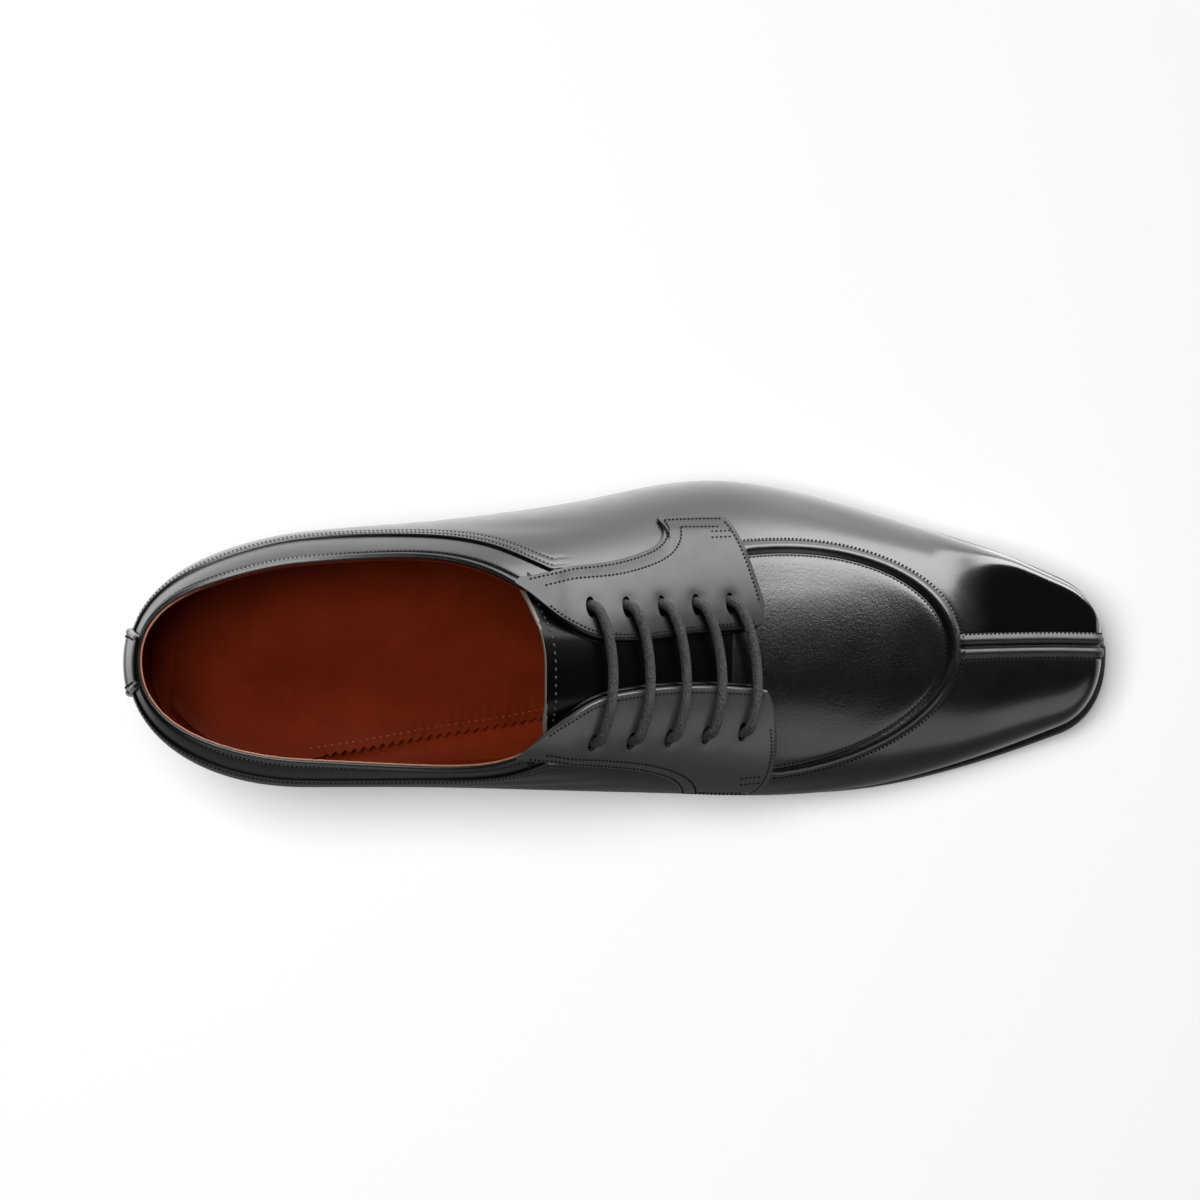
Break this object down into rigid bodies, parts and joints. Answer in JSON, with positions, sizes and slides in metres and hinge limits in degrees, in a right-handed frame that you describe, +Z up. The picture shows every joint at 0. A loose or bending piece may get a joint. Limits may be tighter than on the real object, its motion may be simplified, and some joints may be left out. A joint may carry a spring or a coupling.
{
  "type": "left derby dress shoe",
  "caption": "Left leather derby dress shoe with raised apron seam, split squared toe, open collar, laced facings over a tongue, welted sole and block heel.",
  "frame": {"origin": "on the floor, under the middle of the shoe's box", "axes": "+X towards the toe, +Y towards the outer (lateral) side, +Z up"},
  "size_m": [0.302, 0.0983, 0.1019],
  "materials": {
    "black_calf": "polished black calf",
    "tan_lining": "smooth rust-tan lining leather",
    "black_sole": "black sole and welt edge",
    "black_lace": "waxed round cord"
  },
  "bodies": {
    "root": {"upper": "black_calf", "facing_lateral": "black_calf", "facing_medial": "black_calf", "tongue": "black_calf", "back_strip": "black_calf", "welt": "black_sole", "outsole": "black_sole", "heel": "black_sole", "insole": "tan_lining", "lace_bar_1": "black_lace", "lace_bar_2": "black_lace", "lace_bar_3": "black_lace", "lace_bar_4": "black_lace", "lace_bar_5": "black_lace"}
  },
  "joints": []
}
